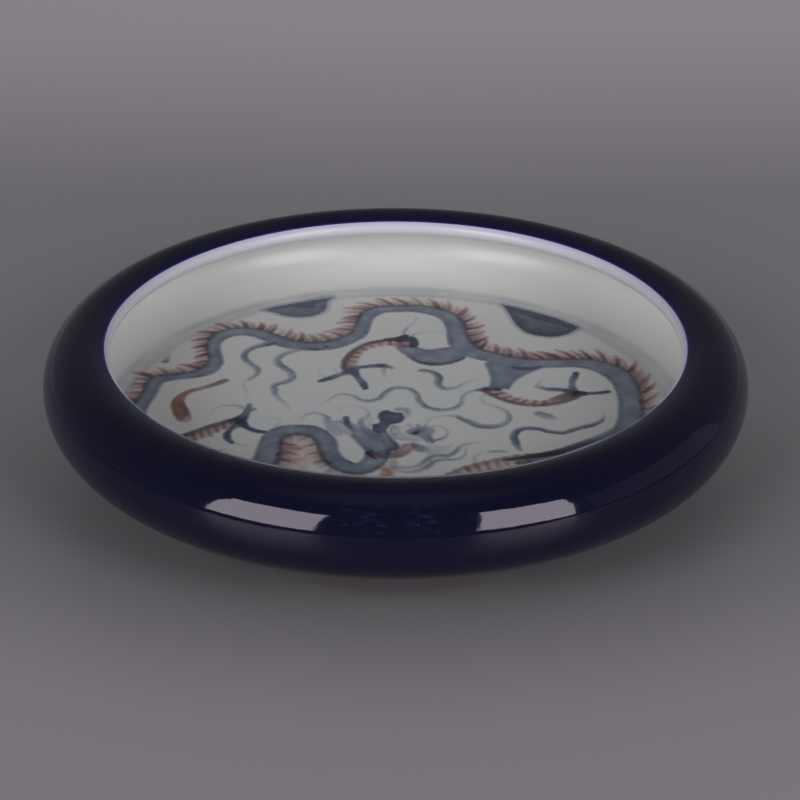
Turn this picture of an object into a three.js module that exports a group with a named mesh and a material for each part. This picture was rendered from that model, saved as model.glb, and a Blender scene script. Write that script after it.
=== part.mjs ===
// A low porcelain brush washer: a wide round basin with a fat, rolled-over wall, a flat floor and a low foot ring.
// Millimetres, +Z up, origin at the centre of the foot, on the surface that the washer stands on.
//
// The fired piece is built up as the potter builds it. A turned clay body is seated on a foot ring, and three coats
// of glaze lie on them: deep blue outside, clear on the white inside, and clear under the base, within the foot.
// Every coat is a skin between the clay and the glazed surface, and each pair that touches shares its outline.
// The two edges of the foot ring stay bare, because that is where the piece stands in the kiln.
//
// A profile is a list of points (radius, height) in the half plane that turns about Z.

import * as THREE from "three";

const degrees = THREE.MathUtils.degToRad;

// Outer form, measured on the finished glaze
const HEIGHT = 38; // from the table to the crest of the shoulder
const BELLY_RADIUS = 100; // widest point of the wall
const SHOULDER_REACH = 11.5; // level distance from the belly in to the crest
const SHOULDER_RISE = 12.3; // from the belly up to the crest
const BELLY_DROP = 13.6; // vertical half axis of the rounding under the belly
const TUCK_ANGLE = degrees(58); // how far round that rounding goes before the wall runs in to the foot
const UNDERSIDE_SLOPE = degrees(5); // slope of the underside where it meets the foot

// Rim: the shoulder falls inwards to the line where blue meets white, and the lip is a round edge below it
const RIM_REACH = 6.25; // level distance from the crest in to the glaze line
const RIM_FALL = degrees(24); // slope of the shoulder at the glaze line
const LIP_THICKNESS = 5; // across the round edge
const WALL = 3.6; // at the belly, glaze to glaze

// Inside
const CORNER_REACH = 16.4; // level distance from the wall in to the flat floor
const FLOOR_THICKNESS = 5.7; // from the floor down to the bottom of the clay

// Foot ring
const FOOT_HEIGHT = 6.4; // clay only
const FOOT_RADIUS = 73; // glazed outer face where the glaze stops
const FOOT_FLARE = 1; // the outer face leans out by this much on its way up
const FOOT_WIDTH = 7; // from outer to inner glazed face, where the glaze stops
const FOOT_DRAFT = 1; // the inner face leans in by this much on its way up
const FOOT_LAND = 3; // width of the flat edge that it stands on
const BARE_EDGE = 1.2; // height of the unglazed edge

// Coats of glaze
const BLUE_GLAZE = 0.5;
const CLEAR_GLAZE = 0.4;

// Facets
const TURN_STEPS = 60;
const SHOULDER_STEPS = 6;
const RIM_STEPS = 2;
const LIP_STEPS = 5;
const BELLY_STEPS = 4;
const UNDERSIDE_STEPS = 4;
const CORNER_STEPS = 6;

// Places that follow from the sizes
const crestRadius = BELLY_RADIUS - SHOULDER_REACH;
const bellyHeight = HEIGHT - SHOULDER_RISE;
const floorHeight = FOOT_HEIGHT + FLOOR_THICKNESS;
const glazeLineRadius = crestRadius - RIM_REACH;
const innerBellyRadius = BELLY_RADIUS - WALL;
const floorRadius = innerBellyRadius - CORNER_REACH;
const rimFall = (RIM_REACH * Math.tan(RIM_FALL)) / 2;

const point = (radius, height) => new THREE.Vector2(radius, height);

// Points of f(0) to f(1) in equal steps, without the first one when it would repeat the end of the last stretch.
function stretch(f, steps, withFirst = false) {
  const found = [];
  for (let i = withFirst ? 0 : 1; i <= steps; i += 1) found.push(f(i / steps));
  return found;
}

// The right-hand normal of a profile at each of its points. It points out of the clay where the profile runs up
// the outside or down the inside.
function normals(profile) {
  return profile.map((here, i) => {
    const before = profile[Math.max(i - 1, 0)];
    const after = profile[Math.min(i + 1, profile.length - 1)];
    const back = here.clone().sub(before).normalize();
    const on = after.clone().sub(here).normalize();
    const along = back.add(on).normalize();
    return point(along.y, -along.x);
  });
}

// The outer form from the widest point of the belly up over the shoulder to the glaze line.
function shoulder() {
  const round = (t) => {
    const angle = (t * Math.PI) / 2;
    return point(
      crestRadius + SHOULDER_REACH * Math.cos(angle),
      bellyHeight + SHOULDER_RISE * Math.sin(angle),
    );
  };
  const fall = (t) => point(crestRadius - RIM_REACH * t, HEIGHT - rimFall * t * t);
  return [...stretch(round, SHOULDER_STEPS, true), ...stretch(fall, RIM_STEPS)];
}

// The round edge of the lip, from the glaze line to its underside: half a circle across the end of the wall.
function lip() {
  const radius = LIP_THICKNESS / 2;
  const out = point(-Math.sin(RIM_FALL), Math.cos(RIM_FALL));
  const centre = point(glazeLineRadius, HEIGHT - rimFall).addScaledVector(out, -radius);
  const edge = (t) => out.clone().rotateAround(point(0, 0), t * Math.PI);
  return stretch((t) => centre.clone().addScaledVector(edge(t), radius), LIP_STEPS);
}

// The underside of the shoulder, from the lip out to the widest point inside. The wall thins from the lip to the belly.
function ceiling(outer) {
  const out = normals(outer);
  const last = outer.length - 1;
  const inner = outer.map((p, i) => {
    const thickness = WALL + ((LIP_THICKNESS - WALL) * i) / last;
    return p.clone().addScaledVector(out[i], -thickness);
  });
  inner[0] = point(innerBellyRadius, bellyHeight);
  return inner.slice(0, last).reverse();
}

// The rounded corner between the widest point inside and the flat floor, and then the floor's centre.
function cornerAndFloor() {
  const corner = (t) => {
    const angle = (t * Math.PI) / 2;
    return point(
      floorRadius + CORNER_REACH * Math.cos(angle),
      floorHeight + (bellyHeight - floorHeight) * (1 - Math.sin(angle)),
    );
  };
  return [...stretch(corner, CORNER_STEPS), point(0, floorHeight)];
}

// The outer form from the widest point down round the belly and in to the foot, without its first point.
function underBelly(footCorner) {
  const round = (t) =>
    point(
      crestRadius + SHOULDER_REACH * Math.cos(TUCK_ANGLE * t),
      bellyHeight - BELLY_DROP * Math.sin(TUCK_ANGLE * t),
    );
  const belly = stretch(round, BELLY_STEPS);
  const start = belly[belly.length - 1];
  const heading = point(
    -SHOULDER_REACH * Math.sin(TUCK_ANGLE),
    -BELLY_DROP * Math.cos(TUCK_ANGLE),
  ).normalize();
  const arrival = point(-Math.cos(UNDERSIDE_SLOPE), -Math.sin(UNDERSIDE_SLOPE));
  const reach = start.distanceTo(footCorner) / 3;
  const sweep = new THREE.CubicBezierCurve(
    start,
    start.clone().addScaledVector(heading, reach),
    footCorner.clone().addScaledVector(arrival, -reach),
    footCorner,
  );
  return [...belly, ...stretch((t) => sweep.getPoint(t), UNDERSIDE_STEPS)];
}

// Turns a closed profile about Z as one solid mesh with its faces pointing out.
function turned(name, profile, color, roughness) {
  const outline = [...profile, profile[0].clone()];
  if (THREE.ShapeUtils.area(profile) < 0) outline.reverse();
  const geometry = new THREE.LatheGeometry(outline, TURN_STEPS);
  const material = new THREE.MeshStandardMaterial({ color, roughness, metalness: 0 });
  const mesh = new THREE.Mesh(geometry, material);
  mesh.name = name;
  mesh.rotation.x = Math.PI / 2;
  return mesh;
}

// A coat is what lies between the glazed surface and the clay under it.
const coat = (name, glazed, clay, color, roughness) =>
  turned(name, [...glazed, ...clay.slice().reverse()], color, roughness);

const sunkBy = (profile, out, thickness) =>
  profile.map((p, i) => p.clone().addScaledVector(out[i], -thickness));

// Foot ring in clay, with the corners that its coats share
const outerFaceAt = (height) =>
  FOOT_RADIUS + (FOOT_FLARE * (height - BARE_EDGE)) / (FOOT_HEIGHT - BARE_EDGE);
const innerFaceAt = (height) =>
  FOOT_RADIUS - FOOT_WIDTH - (FOOT_DRAFT * (height - BARE_EDGE)) / (FOOT_HEIGHT - BARE_EDGE);
const outerSeat = point(outerFaceAt(FOOT_HEIGHT) - BLUE_GLAZE, FOOT_HEIGHT);
const outerStop = point(outerFaceAt(BARE_EDGE) - BLUE_GLAZE, BARE_EDGE);
const innerSeat = point(innerFaceAt(FOOT_HEIGHT) + CLEAR_GLAZE, FOOT_HEIGHT);
const innerStop = point(innerFaceAt(BARE_EDGE) + CLEAR_GLAZE, BARE_EDGE);
const landMiddle = (outerStop.x + innerStop.x) / 2;
const footRing = [
  outerSeat,
  outerStop,
  point(landMiddle + FOOT_LAND / 2, 0),
  point(landMiddle - FOOT_LAND / 2, 0),
  innerStop,
  innerSeat,
];

// Glazed surface outside: glaze line, crest, belly, underside, foot
const outerShoulder = shoulder();
const footCorner = point(outerFaceAt(FOOT_HEIGHT - BLUE_GLAZE), FOOT_HEIGHT - BLUE_GLAZE);
const outside = [...outerShoulder.slice().reverse(), ...underBelly(footCorner)];
const outsideOut = normals(outside).map((n) => n.negate());

// Glazed surface inside: glaze line, lip, ceiling, corner, floor
const inside = [outside[0], ...lip(), ...ceiling(outerShoulder), ...cornerAndFloor()];
const insideOut = normals(inside);

// Clay under both, meeting at one point below the glaze line, and on the axis under the floor
const clayOutside = sunkBy(outside, outsideOut, BLUE_GLAZE);
clayOutside[clayOutside.length - 1] = outerSeat;
const clayInside = sunkBy(inside, insideOut, CLEAR_GLAZE);
clayInside[0] = clayOutside[0];
clayInside[clayInside.length - 1] = point(0, floorHeight - CLEAR_GLAZE);

const washer = new THREE.Group();

const body = [...clayInside.slice().reverse(), ...clayOutside.slice(1), point(0, FOOT_HEIGHT)];
washer.add(turned("porcelain_body", body, "#e9e8e2", 0.75));

washer.add(turned("foot_ring", footRing, "#cdb79b", 0.8));

const glazedFoot = point(outerFaceAt(BARE_EDGE), BARE_EDGE);
washer.add(
  coat("blue_glaze", [...outside, glazedFoot], [...clayOutside, outerStop], "#101233", 0.12),
);

washer.add(coat("interior_glaze", inside, clayInside, "#d7d9d5", 0.12));

const underBase = [
  point(0, FOOT_HEIGHT - CLEAR_GLAZE),
  point(innerFaceAt(FOOT_HEIGHT - CLEAR_GLAZE), FOOT_HEIGHT - CLEAR_GLAZE),
  point(innerFaceAt(BARE_EDGE), BARE_EDGE),
];
const clayBase = [point(0, FOOT_HEIGHT), innerSeat, innerStop];
washer.add(coat("base_glaze", underBase, clayBase, "#d7d9d5", 0.14));

export default washer;
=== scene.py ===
import math
import random
from collections import defaultdict, namedtuple

import bpy
import numpy as np
from mathutils import Matrix, Vector


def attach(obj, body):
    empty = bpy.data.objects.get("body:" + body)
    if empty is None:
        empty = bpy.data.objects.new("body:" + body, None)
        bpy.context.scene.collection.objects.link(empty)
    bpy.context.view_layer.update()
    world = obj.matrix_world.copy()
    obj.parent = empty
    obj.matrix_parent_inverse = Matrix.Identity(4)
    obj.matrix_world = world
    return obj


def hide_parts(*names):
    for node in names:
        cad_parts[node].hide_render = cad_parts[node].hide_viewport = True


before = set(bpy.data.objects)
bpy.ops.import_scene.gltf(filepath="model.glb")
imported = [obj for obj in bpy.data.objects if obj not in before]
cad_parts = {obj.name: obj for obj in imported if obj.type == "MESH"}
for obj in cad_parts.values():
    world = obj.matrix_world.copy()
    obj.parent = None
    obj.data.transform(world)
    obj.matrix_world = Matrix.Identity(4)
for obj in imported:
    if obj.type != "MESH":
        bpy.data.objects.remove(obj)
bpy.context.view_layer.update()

# Looks of a porcelain brush washer: smooth glazed surfaces turned from the frame's own profiles, and a dragon
# painted on the floor in blue and iron red under the glaze.
#
# Blender's unit is the metre. The painting is laid out in millimetres on the floor, seen from above: x to the
# right and y away from the viewer, from the middle of the floor.

MM = 0.001
TINY = 1e-7

# Camera, from the photo, in degrees: distance and elevation are seen from the middle of the mouth
CAMERA_DISTANCE = 600 * MM
CAMERA_ELEVATION = 25.67
CAMERA_PITCH = 27.47
CAMERA_YAW = 0.13
CAMERA_ROLL = 0.21
LENS = 95.0
SENSOR_WIDTH = 36.0
MOUTH_HEIGHT = 36.6 * MM

# Two upright soft lights stand in front, left and right. Their reflections on the near side give their
# places. Azimuth 0 is the viewer's side, and it grows to the right, in degrees.
LIGHT_DISTANCE = 1.0
LIGHT_AIM = 25 * MM  # height of the point that they are measured from
LEFT_RADIANCE = 5.25
RIGHT_RADIANCE = 5.4
CARD_RADIANCE = 0.42  # a dim reflector on the right
CARD_SIZES = [1.0, 0.8, 0.6, 0.4]  # it fades out in steps, as shares of its size
# Light from the room at the horizon, above it, up to the ceiling, and straight above, each with the height of
# its direction
ROOM_LIGHT = [
    (0, (0.145, 0.150, 0.185, 1)), (0.35, (0.132, 0.130, 0.130, 1)), (0.92, (0.112, 0.114, 0.116, 1)),
    (1, (0.25, 0.25, 0.25, 1)),
]

# Floor: one sheet, with its grey at even steps away from the viewer. The steps are painted light:
# paler behind the washer, as on a lit backdrop, and paler in front beyond the lights, where they don't reach
FLOOR_HALF_WIDTH = 4.0
FLOOR_REACH = 1.2  # from the washer to the first and to the last of the steps
FLOOR_GREYS = [225, 215, 190, 152, 152, 152, 152, 166, 230, 254, 254, 254, 254]
FLOOR_TINT = (1, 0.967, 1.01)
# A soft shadow is painted into the floor's colour in front of the washer
SHADE = 0.43
SHADE_REACH = (140 * MM, 76 * MM)  # how far from the middle it begins and is full
SHADE_FRONT = (50 * MM, -80 * MM)  # and how far to the front
SHADE_FALL = 1.4  # it fades with this power
SHADE_WIDER = 0.68  # it reaches farther to the sides by the inverse of this

# Turned surfaces
SEGMENTS = 240  # round the axis
PROFILE_STEP = 0.8 * MM
CORNER = math.radians(35)  # a sharper turn in a profile is a real edge
STRAIGHT = 12 * MM  # a longer side of a profile is straight
SAME_PLACE = 0.01 * MM
SOFT_EDGE = 0.8 * MM  # how far glaze and wear round an edge that is open to the air

# Painted floor
PAINTED_RADIUS = 84.8  # mm
PAINTED_CELLS = 306
FLAT_RADIUS = 80.0
RING_INNER = 78.6
RING_OUTER = 84.6
RING_TOP = (16, 15)  # mm above the table, where the ring fades out
OUTSIDE = -9.0  # depth in paint, in mm, of what isn't painted at all
PAINT_STEP = 0.7  # mm between the points of a painted line
BRUSH_SIDES = 40  # a stroke is laid this many sides of its line at a time, to save memory
MARGIN = 1.5  # mm round a stroke that its soft edge may take up
PATCH_CORNER = math.radians(60)
SOFTNESS = {"wash": 0.8, "line": 0.65, "blush": 1.0, "red": 0.65}  # mm on both sides of an edge, by layer


# Lines and profiles

def unit(vectors):
    return vectors / np.maximum(np.linalg.norm(vectors, axis=-1, keepdims=True), TINY)


def smooth_line(points, step, closed=False, corner=math.pi, straight=math.inf):
    """A smooth line through a few points, as many points a step apart.

    At each point it runs along the circle through that point and its two neighbours. It keeps a sharp turn as
    a corner, and it keeps a long side straight.
    """
    points = np.asarray(points, float)
    count = len(points)
    sides = (np.roll(points, -1, 0) - points)[:None if closed else -1]
    lengths = np.linalg.norm(sides, axis=1)
    along = unit(sides)
    headings = [None] * count
    for i in range(count) if closed else range(1, count - 1):
        before, after = along[i - 1], along[i]
        if math.acos(float(np.clip(before @ after, -1, 1))) > corner:
            continue
        if lengths[i - 1] > straight:
            headings[i] = before
        elif lengths[i] > straight:
            headings[i] = after
        else:
            headings[i] = unit(before * lengths[i] + after * lengths[i - 1])
    line = []
    for i, (chord, length) in enumerate(zip(along, lengths)):
        start, end = points[i], points[(i + 1) % count]
        first, last = headings[i], headings[(i + 1) % count]
        if first is None and last is None:
            first = last = chord
        elif first is None:
            first = 2 * chord * (chord @ last) - last
        elif last is None:
            last = 2 * chord * (chord @ first) - first
        is_straight = min(first @ chord, last @ chord) > 1 - 1e-6
        steps = 1 if is_straight else max(2, math.ceil(length / step))
        t = np.linspace(0, 1, steps, endpoint=False)[:, None]
        line.append(
            start * (2 * t**3 - 3 * t**2 + 1)
            + end * (3 * t**2 - 2 * t**3)
            + first * length * (t**3 - 2 * t**2 + t)
            + last * length * (t**3 - t**2)
        )
    if not closed:
        line.append(points[-1:])
    return np.concatenate(line)


def run_along(line):
    """The distance from a line's start to each of its points."""
    return np.concatenate([[0], np.linalg.norm(np.diff(line, axis=0), axis=1).cumsum()])


def spread(values, line):
    """Values given at even places along a line, at each of its points."""
    run = run_along(line)
    return np.interp(run / run[-1], np.linspace(0, 1, len(values)), values)


def from_sides(places, starts, sides):
    """Each place's nearest point on each side of a line, as a share of the side, and the way from it."""
    offset = places[:, None] - starts
    share = ((offset * sides).sum(-1) / np.maximum((sides**2).sum(-1), TINY)).clip(0, 1)
    return share, offset - share[..., None] * sides


def cad_profile(node):
    """The outline (radius, height) that a CAD node was turned from, read from its mesh at Y = 0.

    It starts and ends on the axis, the upper end first, or it closes on itself.
    """
    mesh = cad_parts[node].data
    place = {}
    for vertex in mesh.vertices:
        x, y, z = vertex.co
        if abs(y) < TINY and x > -TINY:
            place[vertex.index] = (round(max(x, 0.0), 6), round(z, 6))
    linked = defaultdict(set)
    for edge in mesh.edges:
        a, b = (place.get(v) for v in edge.vertices)
        if a and b and a != b:
            linked[a].add(b)
            linked[b].add(a)
    ends = [p for p in linked if len(linked[p]) == 1]
    outline = [max(ends, key=lambda p: p[1]) if ends else max(linked)]
    while ahead := sorted(linked[outline[-1]] - set(outline)):
        outline.append(ahead[0])
    return np.array(outline), not ends


PROFILES = {node: cad_profile(node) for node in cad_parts}

# The line on the lip where blue glaze meets white: the innermost point of the blue above its own middle
GLAZE_LINE = min((p for p in PROFILES["blue_glaze"][0] if p[1] > MOUTH_HEIGHT / 2), key=lambda p: p[0])


def is_shared(node, point):
    others = [outline for other, (outline, _) in PROFILES.items() if other != node]
    return any(np.abs(outline - point).max(1).min() < SAME_PLACE for outline in others)


def softened(node):
    """The node's outline, with each sharp corner that touches no other piece cut off for a round edge."""
    outline, closed = PROFILES[node]
    count = len(outline)
    result = []
    for i, point in enumerate(outline):
        before = outline[i - 1] - point
        after = outline[(i + 1) % count] - point
        turn = math.pi - math.acos(float(np.clip(unit(before) @ unit(after), -1, 1)))
        is_end = not closed and i in (0, count - 1)
        if is_end or turn < CORNER or is_shared(node, point):
            result.append(point)
            continue
        reach = min(SOFT_EDGE, 0.45 * np.linalg.norm(before), 0.45 * np.linalg.norm(after))
        start = point + unit(before) * reach
        end = point + unit(after) * reach
        for t in (0, 0.33, 0.67, 1):
            result.append(start * (1 - t) ** 2 + point * 2 * t * (1 - t) + end * t**2)
    return np.array(result), closed


def profile(node):
    outline, closed = softened(node)
    line = smooth_line(outline, PROFILE_STEP, closed, CORNER, STRAIGHT)
    line[:, 1] = np.maximum(line[:, 1], 0)
    return line, closed


# Meshes

def place_object(name, data, place=Vector(), turn=Matrix()):
    thing = bpy.data.objects.new(name, data)
    thing.matrix_world = Matrix.Translation(place) @ turn
    bpy.context.scene.collection.objects.link(thing)
    return thing


def add_piece(mesh, node, material):
    mesh.validate()
    mesh.shade_smooth()
    mesh.set_sharp_from_angle(angle=CORNER)
    mesh.materials.append(material)
    piece = place_object(mesh.name, mesh)
    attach(piece, "root")
    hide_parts(node)


def add_uv(mesh, places):
    layer = mesh.uv_layers.new(name="OFBake")
    layer.data.foreach_set("uv", np.asarray(places, np.float32).ravel())


def turned(name, outline, closed):
    """A mesh turned about Z from an outline that closes on itself, or that runs from axis to axis.

    Its UV map unrolls it: U goes round and V along the outline.
    """
    after = np.roll(outline, -1, 0)
    if (outline[:, 0] * after[:, 1] - after[:, 0] * outline[:, 1]).sum() > 0:
        outline = outline[::-1]
    run = run_along(np.vstack([outline, outline[:1]]))
    vertices = []
    rings = []
    for radius, height in outline:
        first = len(vertices)
        count = 1 if radius < TINY else SEGMENTS
        for i in range(count):
            angle = 2 * math.pi * i / SEGMENTS
            vertices.append((radius * math.cos(angle), radius * math.sin(angle), height))
        rings.append([first + i % count for i in range(SEGMENTS)])
    faces = []
    places = []
    for k in range(len(rings) if closed else len(rings) - 1):
        here, there = rings[k], rings[(k + 1) % len(rings)]
        low, high = run[k:k + 2] / run[-1]
        for i in range(SEGMENTS):
            j = (i + 1) % SEGMENTS
            left, right = i / SEGMENTS, (i + 1) / SEGMENTS
            corners = {here[i]: (left, low), there[i]: (left, high)}
            corners.setdefault(there[j], (right, high))
            corners.setdefault(here[j], (right, low))
            if len(corners) > 2:
                faces.append(list(corners))
                places.extend(corners.values())
    mesh = bpy.data.meshes.new(name)
    mesh.from_pydata(vertices, [], faces)
    add_uv(mesh, places)
    return mesh


def disc_points(cells):
    """Points of a square grid, mapped onto a disc of radius 1 so that all its cells keep the same area."""
    ticks = np.linspace(-1, 1, cells + 1)
    a, b = np.meshgrid(ticks, ticks)
    wide = np.abs(a) > np.abs(b)
    radius = np.where(wide, a, b)
    safe_a = np.where(a == 0, 1, a)
    safe_b = np.where(b == 0, 1, b)
    angle = np.where(wide, math.pi / 4 * b / safe_a, math.pi / 2 - math.pi / 4 * a / safe_b)
    return np.stack([radius * np.cos(angle), radius * np.sin(angle)], -1).reshape(-1, 2)


# Paint: each pigment is a layer on the floor's vertices. Depth is how far, in mm, a point lies inside the
# painted shape, and tone is how much pigment there is. The shader turns depth into an edge as soft as a wet
# brush leaves.

class Layer:
    def __init__(self, places):
        self.places = places
        self.depth = np.full(len(places), OUTSIDE)
        self.tone = np.zeros(len(places))

    def lay(self, which, depth, tone):
        deeper = depth > self.depth[which]
        self.depth[which[deeper]] = depth[deeper]
        self.tone[which[deeper]] = tone[deeper]

    def near(self, line, reach):
        low = line.min(0) - reach
        high = line.max(0) + reach
        return np.flatnonzero(((self.places > low) & (self.places < high)).all(1))

    def stroke(self, points, widths, tones):
        """A brush stroke through points. Widths and tones are spread evenly along it."""
        line = smooth_line(points, PAINT_STEP)
        self.brush(line, spread(widths, line) / 2, spread(tones, line))

    def brush(self, line, half, tone, across=None):
        """A stroke along a line, with half its width and its tone at each point.

        across, if given, turns the place across the stroke, from -1 on its right to 1 on its left, into tone.
        """
        for first in range(0, len(line) - 1, BRUSH_SIDES):
            part = slice(first, first + BRUSH_SIDES)
            some = line[first:first + BRUSH_SIDES + 1]
            sides = np.diff(some, axis=0)
            which = self.near(some, half.max() + MARGIN)
            if not len(which):
                continue
            share, foot = from_sides(self.places[which], some[:-1], sides)
            half_here = half[:-1][part] + share * np.diff(half)[part]
            depth = half_here - np.linalg.norm(foot, axis=-1)
            best = (np.arange(len(which)), depth.argmax(1))
            own_tone = (tone[:-1][part] + share * np.diff(tone)[part])[best]
            if across:
                heading = unit(sides)[best[1]]
                left = heading[:, 0] * foot[best][:, 1] - heading[:, 1] * foot[best][:, 0]
                own_tone = own_tone * across((left / half_here[best]).clip(-1, 1))
            self.lay(which, depth[best], own_tone)

    def patch(self, points, tone):
        """A filled shape with a smooth outline, apart from its sharpest corners."""
        starts = smooth_line(points, PAINT_STEP, closed=True, corner=PATCH_CORNER)
        sides = np.roll(starts, -1, 0) - starts
        which = self.near(starts, MARGIN)
        x, y = self.places[which][:, :1], self.places[which][:, 1:]
        distance = np.linalg.norm(from_sides(self.places[which], starts, sides)[1], axis=-1).min(1)
        spans = (starts[:, 1] > y) != (starts[:, 1] + sides[:, 1] > y)
        slope = sides[:, 0] / np.where(sides[:, 1] == 0, TINY, sides[:, 1])
        crossed = spans & (x < starts[:, 0] + (y - starts[:, 1]) * slope)
        is_inside = crossed.sum(1) % 2 == 1
        self.lay(which, np.where(is_inside, distance, -distance), np.full(len(which), tone))


# The dragon's body winds from the head, near the middle, round the floor to the tail. Each place on it has x,
# y and half the body's width. Its back, with the fins, is on the left of that way.
BODY = [
    (-4.5, -22, 3.5), (-5, -27, 3.5), (-6.5, -31.5, 3.3), (-10, -34.8, 3.2), (-14.5, -33, 3.1),
    (-17.5, -29, 3), (-18.7, -25, 2.9), (-19.5, -20, 3), (-21.5, -15.3, 3.2), (-24.5, -12.8, 3.2),
    (-28, -12.4, 3.1), (-32, -13.3, 3.2), (-34.3, -16.3, 3.2), (-35, -20, 3.4), (-35.2, -25, 3.8),
    (-36.5, -33, 3.8), (-41, -42, 3.7), (-50, -48, 3.6), (-60, -44, 3.4), (-67, -34, 3.2), (-72, -22, 3),
    (-74.8, -8, 2.8), (-74, 4, 2.6), (-72.5, 10, 2.5), (-72, 15, 2.5), (-70.7, 19.2, 2.7), (-66, 21, 2.2),
    (-60.5, 22.5, 2.3), (-57, 25, 2.9), (-54.8, 30, 2.6), (-55, 35, 2.2), (-56.2, 40, 2.3), (-56, 45, 2.4),
    (-54.3, 49.3, 3), (-49, 52.3, 2.9), (-43.5, 51.5, 3), (-39.5, 48.6, 3), (-36, 45.8, 3.1),
    (-31, 43, 3.1), (-26, 42, 3.1), (-19, 43.6, 3.2), (-14.5, 47.3, 3), (-12, 50.5, 2.9), (-10.8, 55, 2.7),
    (-10, 60, 2.6), (-8.8, 65, 2.9), (-5, 68.7, 2.9), (0, 69.5, 2.7), (5, 69.7, 2.7), (10, 68.6, 3),
    (15, 65.5, 3.2), (18, 60.5, 3.3), (19, 55, 3.3), (19.3, 49, 3.5), (20.5, 43.5, 4), (24, 38, 3.8),
    (29, 35, 3.5), (34, 32.5, 3.5), (40, 30.8, 3.3), (50, 31, 3.1), (56, 31, 3.3), (60, 29.5, 3.7),
    (66, 24, 4.2), (67.5, 20, 4), (68.8, 10, 3.8), (68.3, 0, 3.8), (66.8, -8, 3.6), (62.8, -16.5, 3.7),
    (56.5, -23.5, 3.8), (48.5, -28.8, 3.8), (40.5, -32.3, 3.7), (33.8, -38, 3.5), (29.5, -47, 3.2),
    (32, -57, 2.6), (40, -61.5, 1.8), (47, -59, 0.8),
]

# Fins: spines along the back, a strong one and a faint one by turns, all in one pale red wash
FIN_PITCH = 2.5  # mm from one spine to the next
FULL_FINS = 2.8  # half width of a body whose fins have their full length
BARE_TAIL = 9  # mm at the end of the back without spines
BARE_TIP = 12  # mm at the end of the tail without dark touches
FAINT_SPINE = (0.72, 0.5)  # its length and strength as shares of a strong one's
# At distances in mm from the head: how far the spines lean towards it as a share of their length, their
# length in mm and their strength
FIN_STYLES = [
    (19, 0, 3, 0.4), (42, 0.2, 3.6, 0.6), (54, -0.35, 4.6, 0.8), (74, -0.2, 6.2, 1), (100, 0.4, 6.2, 1),
    (165, 0.15, 5.6, 1), (232, 0.5, 4.8, 1.1), (250, 0.2, 5, 1), (272, 0.1, 5.4, 1.1), (285, 0.3, 5.4, 1.3),
    (300, 0.8, 6.2, 1.2), (318, 0.85, 6.4, 1.1), (332, 0.4, 5, 1.4), (366, 0.5, 5.6, 1.35),
    (376, 1, 7.2, 1.3), (410, 1.2, 7, 1.2), (445, 0.6, 5.5, 0.8),
]


def body_shade(side):
    """Tone across the body: a little darker along the back."""
    t = ((side - 0.3) / 0.7).clip(0, 1)
    return 1 + 0.25 * t * t * (3 - 2 * t)


def beside(centre, reach):
    """A line that runs beside another one, by reach to its left, with the headings along and to the left."""
    heading = unit(np.gradient(centre, axis=0))
    left = np.stack([-heading[:, 1], heading[:, 0]], 1)
    return centre + left * reach[:, None], heading, left


def paint_body(wash, line, blush, red):
    body = smooth_line(BODY, PAINT_STEP)
    centre, half = body[:, :2], body[:, 2]
    wash.brush(centre, half, np.ones(len(half)), across=body_shade)
    back, heading, left = beside(centre, half)
    run = run_along(back)
    paint_fins(run, back, heading, left, half, line, blush, red)
    paint_touches(run, back, left, line, random.Random(11), 4.0, 12.0)
    belly, _, _ = beside(centre, -half)
    paint_touches(run, belly, -left, line, random.Random(5), 9.0, 26.0)


def paint_fins(run, back, heading, left, half, line, blush, red):
    chance = random.Random(4)
    places, *styles = zip(*FIN_STYLES)
    strong = True
    place = places[0]
    while place < run[-1] - BARE_TAIL:
        i = int(np.searchsorted(run, place))
        lean, length, strength = (np.interp(place, places, values) for values in styles)
        lean *= chance.uniform(0.7, 1.3)
        length *= min(1, half[i] / FULL_FINS) * chance.uniform(0.8, 1.15)
        strength *= chance.uniform(0.65, 1.3)
        if not strong:
            length *= FAINT_SPINE[0]
            strength *= FAINT_SPINE[1]
        out = unit(left[i] - heading[i] * lean)
        bent = unit(left[i] - heading[i] * (lean + (0.45 if lean >= 0 else -0.3)))
        base = back[i] + left[i] * 0.2
        middle = base + out * (length * 0.55 + 0.3)
        tip = middle + bent * length * 0.45
        width = chance.uniform(1.5, 2.5)
        blush.stroke([base, middle, (middle + tip) / 2], [3.4, 3.6, 2.6], [1.3, 1.2, 0.8])
        red.stroke([base, middle, tip], [width, width * 0.85, 0.9], np.array([1.15, 0.95, 0.6]) * strength)
        line.stroke([base, middle], [width, width * 0.7], np.array([0.6, 0.2]) * strength)
        place += FIN_PITCH * chance.uniform(0.8, 1.2)
        strong = not strong


def paint_touches(run, edge, out, line, chance, least, most):
    """Short dark touches along an edge of the body, where the brush rested, from least to most mm apart."""
    place = 3.0
    while place < run[-1] - BARE_TIP:
        i = int(np.searchsorted(run, place))
        j = int(np.searchsorted(run, place + chance.uniform(0.8, 3.2)))
        touch = edge[i:j + 1] - out[i:j + 1] * chance.uniform(0.6, 1.2)
        if len(touch) > 1:
            line.stroke(touch[[0, -1]], [chance.uniform(0.7, 1.7)], [chance.uniform(1.1, 1.8)])
        place += chance.uniform(least, most)


# A leg's thigh is a blue shape. Its forearm lies between an outer and an inner line, and edge is the weight
# of the outer one. Its claws are dark strokes, each with points, widths and tones.
Leg = namedtuple("Leg", "thigh edge outer inner claws")

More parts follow.
